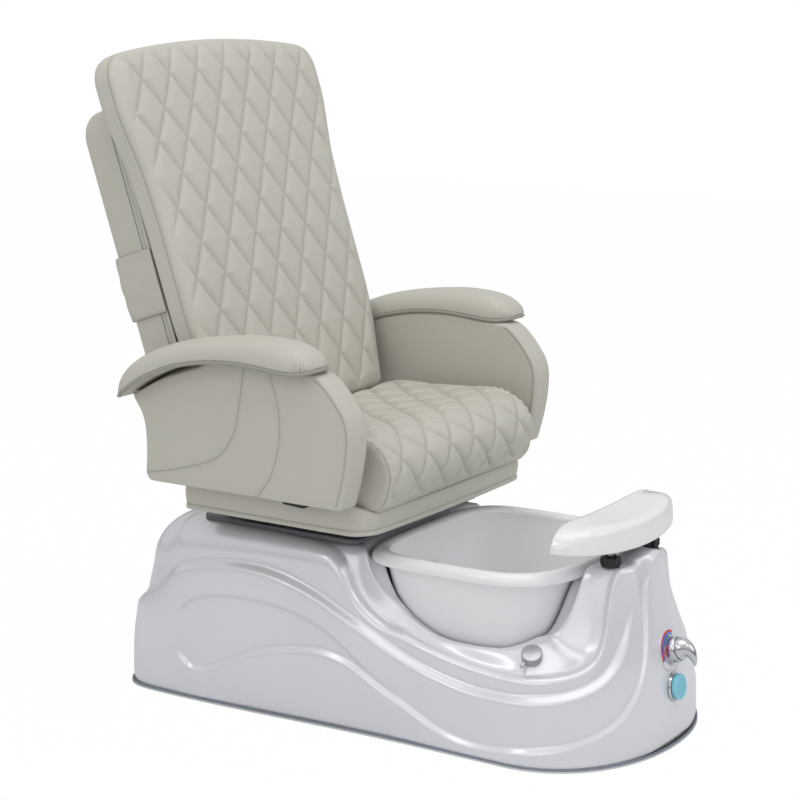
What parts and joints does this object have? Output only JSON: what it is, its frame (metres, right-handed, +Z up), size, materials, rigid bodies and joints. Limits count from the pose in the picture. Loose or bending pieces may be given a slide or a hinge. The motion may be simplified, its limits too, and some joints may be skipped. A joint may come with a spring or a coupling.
{
  "type": "pedicure chair",
  "caption": "Quilted reclining pedicure chair on a flowing one-piece base, with a drop-in foot tub, taps and an adjustable footrest.",
  "frame": {"origin": "on the floor, under the middle of the chair's overall length and width", "axes": "+Z up, -Y towards the foot tub, +X towards the seated person's left"},
  "size_m": [0.8, 1.1818, 1.258],
  "materials": {
    "pearl_gelcoat": "satin gloss, pearl gelcoat",
    "grey_rubber": "matte",
    "grey_steel": "satin",
    "black_plastic": "satin",
    "grey_plate": "satin",
    "zinc_steel": "zinc plated",
    "white_gloss": "high gloss",
    "chrome": "polished",
    "grey_plastic": "satin",
    "dial_print": "printed",
    "blue_plastic": "gloss",
    "hose_rubber": "matte",
    "plywood": "raw",
    "upholstery": "soft matt leather",
    "upholstery_back": "soft matt leather"
  },
  "bodies": {
    "base": {"base_shell": "pearl_gelcoat", "floor_trim": "grey_rubber", "base_frame": "grey_steel", "levelling_feet": "black_plastic", "mounting_plate": "grey_plate", "plate_bolts": "zinc_steel", "lower_rails": "zinc_steel", "tub": "white_gloss", "drain_flange": "chrome", "drain_trap": "black_plastic", "jet_pump": "black_plastic", "jet_cover": "grey_plastic", "mixer_valve": "chrome", "dial_ring": "dial_print", "spray_socket": "chrome", "drain_knob_seat": "chrome", "post_bushes": "black_plastic"},
    "footrest": {"footrest_posts": "zinc_steel", "footrest_bracket": "black_plastic", "footrest_pad": "white_gloss"},
    "hand_knob_left": {"hand_knob_left": "black_plastic"},
    "hand_knob_right": {"hand_knob_right": "black_plastic"},
    "mixer_hub": {"mixer_hub": "chrome"},
    "mixer_lever": {"mixer_lever": "chrome"},
    "spray": {"spray_head": "blue_plastic", "spray_hose": "hose_rubber"},
    "drain_knob": {"drain_knob": "chrome"},
    "drain_plug": {"drain_plug": "chrome"},
    "seat": {"seat_frame": "grey_steel", "upper_rails": "zinc_steel", "rail_rollers": "black_plastic", "seat_board": "plywood", "seat_skirt": "upholstery", "seat_cushion": "upholstery", "recline_pins": "zinc_steel", "arm_pins": "zinc_steel"},
    "slide_lever": {"slide_lever": "black_plastic"},
    "backrest": {"back_frame": "grey_steel", "back_shell": "upholstery_back", "back_pad": "upholstery", "back_strap": "upholstery_back"},
    "arm_left": {"arm_plate_left": "grey_steel", "arm_panel_left": "upholstery", "arm_pad_left": "upholstery"},
    "arm_right": {"arm_plate_right": "grey_steel", "arm_panel_right": "upholstery", "arm_pad_right": "upholstery"}
  },
  "joints": [
    {"name": "footrest_lift", "type": "slide", "parent": "base", "child": "footrest", "axis": [0, 0, 1], "range_m": [0, 0.04]},
    {"name": "hand_knob_left_turn", "type": "hinge", "parent": "base", "child": "hand_knob_left", "pos_m": [0.078, -0.465, 0.354], "axis": [0, 0, 1], "continuous": true},
    {"name": "hand_knob_right_turn", "type": "hinge", "parent": "base", "child": "hand_knob_right", "pos_m": [-0.078, -0.465, 0.354], "axis": [0, 0, 1], "continuous": true},
    {"name": "mixer_turn", "type": "hinge", "parent": "base", "child": "mixer_hub", "pos_m": [0, -0.55116, 0.178], "axis": [0, -0.9563, 0.2924], "range_deg": [-45, 45]},
    {"name": "mixer_lift", "type": "hinge", "parent": "mixer_hub", "child": "mixer_lever", "pos_m": [0, -0.57258, 0.18455], "axis": [-1, 0, 0], "range_deg": [0, 25]},
    {"name": "spray_pull", "type": "slide", "parent": "base", "child": "spray", "axis": [0, -0.9925, 0.1219], "range_m": [0, 0.08]},
    {"name": "drain_turn", "type": "hinge", "parent": "base", "child": "drain_knob", "pos_m": [-0.194, -0.372, 0.183], "axis": [-0.5255, -0.1913, 0.829], "range_deg": [0, 90]},
    {"name": "drain_lift", "type": "slide", "parent": "base", "child": "drain_plug", "axis": [0, 0, 1], "range_m": [0, 0.008]},
    {"name": "seat_slide", "type": "slide", "parent": "base", "child": "seat", "axis": [0, 1, 0], "range_m": [-0.05, 0.07]},
    {"name": "slide_release", "type": "hinge", "parent": "seat", "child": "slide_lever", "pos_m": [-0.3296, 0.071, 0.441], "axis": [1, 0, 0], "range_deg": [0, 15], "stiffness_Nm_per_rad": 1},
    {"name": "recline", "type": "hinge", "parent": "seat", "child": "backrest", "pos_m": [0, 0.281, 0.43], "axis": [-1, 0, 0], "range_deg": [0, 25]},
    {"name": "arm_left_lift", "type": "hinge", "parent": "seat", "child": "arm_left", "pos_m": [0.3, 0.281, 0.482], "axis": [-1, 0, 0], "range_deg": [0, 70]},
    {"name": "arm_right_lift", "type": "hinge", "parent": "seat", "child": "arm_right", "pos_m": [-0.3, 0.281, 0.482], "axis": [-1, 0, 0], "range_deg": [0, 70]}
  ],
  "couplings": [
    {"joint": "drain_lift", "follows": "drain_turn", "m_per_rad": 0.00509}
  ]
}
